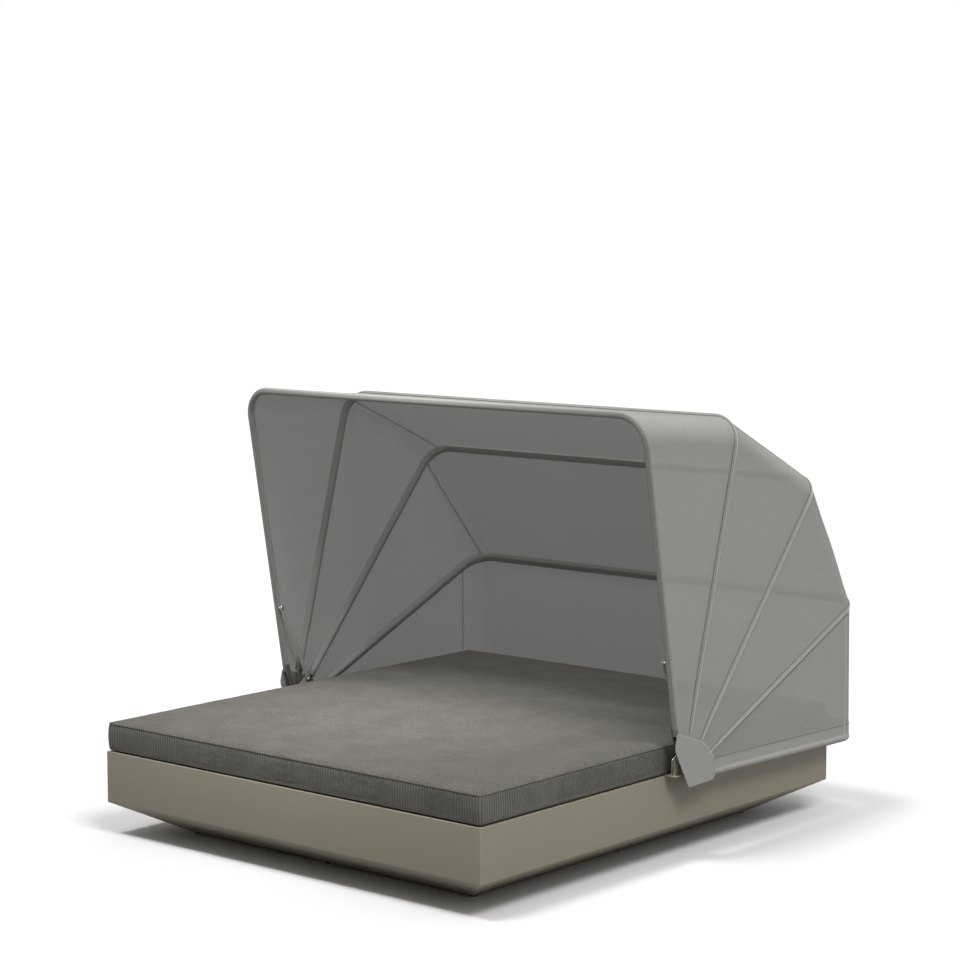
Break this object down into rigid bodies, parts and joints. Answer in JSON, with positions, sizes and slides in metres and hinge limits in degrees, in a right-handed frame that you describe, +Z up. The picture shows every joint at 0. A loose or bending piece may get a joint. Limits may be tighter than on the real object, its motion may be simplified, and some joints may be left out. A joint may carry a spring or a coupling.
{
  "type": "outdoor daybed with canopy",
  "caption": "Low square outdoor daybed: moulded tub base, ribbed-side mattress and a fan-folding cloth canopy on round bows with braces.",
  "frame": {"origin": "on the floor under the middle of the base, on the centre glide", "axes": "+X to the right seen from the foot end, +Y towards the head where the canopy stands, +Z up"},
  "size_m": [1.9338, 2.1659, 1.601],
  "materials": {
    "tub_shell": "moulded, fine matte grain",
    "board": "dark composite board",
    "frame_metal": "mill finish",
    "glide_rubber": "black, matte",
    "zip_plastic": "moulded teeth",
    "cover_cloth": "woven outdoor cloth, mottled, ribbed side band",
    "foam": "open-cell foam",
    "bow_paint": "powder coat, satin",
    "brace_paint": "powder coat, satin, light grey",
    "bracket_paint": "powder coat, matte, taupe",
    "stainless": "polished stainless",
    "canopy_cloth": "woven outdoor mesh cloth",
    "patch_cloth": "coarse diagonal twill"
  },
  "bodies": {
    "base": {"base_tub": "tub_shell", "bottom_bow": "bow_paint", "cross_beam_back": "frame_metal", "cross_beam_front": "frame_metal", "cross_beam_middle": "frame_metal", "deck_batten_left": "frame_metal", "deck_batten_right": "frame_metal", "deck_board": "board", "foot_bolt_back_left": "stainless", "foot_bolt_back_right": "stainless", "foot_bolt_front_left": "stainless", "foot_bolt_front_right": "stainless", "glide_back": "glide_rubber", "glide_back_left": "glide_rubber", "glide_back_right": "glide_rubber", "glide_centre": "glide_rubber", "glide_front": "glide_rubber", "glide_front_left": "glide_rubber", "glide_front_right": "glide_rubber", "glide_left": "glide_rubber", "glide_right": "glide_rubber", "hub_bracket_left": "bracket_paint", "hub_bracket_right": "bracket_paint", "hub_cheek_left": "stainless", "hub_cheek_right": "stainless", "hub_patch_left": "patch_cloth", "hub_patch_right": "patch_cloth", "hub_pin_left": "stainless", "hub_pin_right": "stainless", "hub_sleeve_left": "stainless", "hub_sleeve_right": "stainless", "hub_washer_left": "stainless", "hub_washer_right": "stainless", "mattress_core": "foam", "mattress_cover": "cover_cloth", "mattress_zip": "zip_plastic", "post_back_left": "frame_metal", "post_back_right": "frame_metal", "post_centre": "frame_metal", "post_front_left": "frame_metal", "post_front_right": "frame_metal", "stay_bolt_left": "stainless", "stay_bolt_right": "stainless"},
    "fourth_bow_body": {"bottom_panel": "canopy_cloth", "fourth_bow": "bow_paint"},
    "third_bow_body": {"rear_panel": "canopy_cloth", "third_bow": "bow_paint"},
    "second_bow_body": {"second_bow": "bow_paint", "upper_panel": "canopy_cloth"},
    "front_bow_body": {"brace_upper_bolt_left": "stainless", "brace_upper_bolt_right": "stainless", "front_bow": "bow_paint", "front_panel": "canopy_cloth"},
    "brace_right_body": {"brace_bar_right": "brace_paint", "brace_lower_bolt_right": "stainless"},
    "brace_left_body": {"brace_bar_left": "brace_paint", "brace_lower_bolt_left": "stainless"}
  },
  "joints": [
    {"name": "fourth_bow_fold", "type": "hinge", "parent": "base", "child": "fourth_bow_body", "pos_m": [0, 0.02, 0.327], "axis": [-1, 0, 0], "range_deg": [0, 17.2], "deforming": ["bottom_panel", "hub_patch_left", "hub_patch_right"]},
    {"name": "third_bow_fold", "type": "hinge", "parent": "fourth_bow_body", "child": "third_bow_body", "pos_m": [0, 0.02, 0.327], "axis": [-1, 0, 0], "range_deg": [0, 17.2], "deforming": ["rear_panel"]},
    {"name": "second_bow_fold", "type": "hinge", "parent": "third_bow_body", "child": "second_bow_body", "pos_m": [0, 0.02, 0.327], "axis": [-1, 0, 0], "range_deg": [0, 17.2], "deforming": ["upper_panel"]},
    {"name": "front_bow_fold", "type": "hinge", "parent": "second_bow_body", "child": "front_bow_body", "pos_m": [0, 0.02, 0.327], "axis": [-1, 0, 0], "range_deg": [0, 17.2], "deforming": ["front_panel"]},
    {"name": "brace_right_swing", "type": "hinge", "parent": "front_bow_body", "child": "brace_right_body", "pos_m": [0.9285, -0.07484, 0.72545], "axis": [-1, 0, 0], "range_deg": [0, 15.2]},
    {"name": "brace_left_swing", "type": "hinge", "parent": "front_bow_body", "child": "brace_left_body", "pos_m": [-0.9285, -0.07484, 0.72545], "axis": [-1, 0, 0], "range_deg": [0, 15.2]}
  ],
  "couplings": [
    {"joint": "third_bow_fold", "follows": "fourth_bow_fold", "ratio": 1},
    {"joint": "second_bow_fold", "follows": "fourth_bow_fold", "ratio": 1},
    {"joint": "front_bow_fold", "follows": "fourth_bow_fold", "ratio": 1}
  ]
}
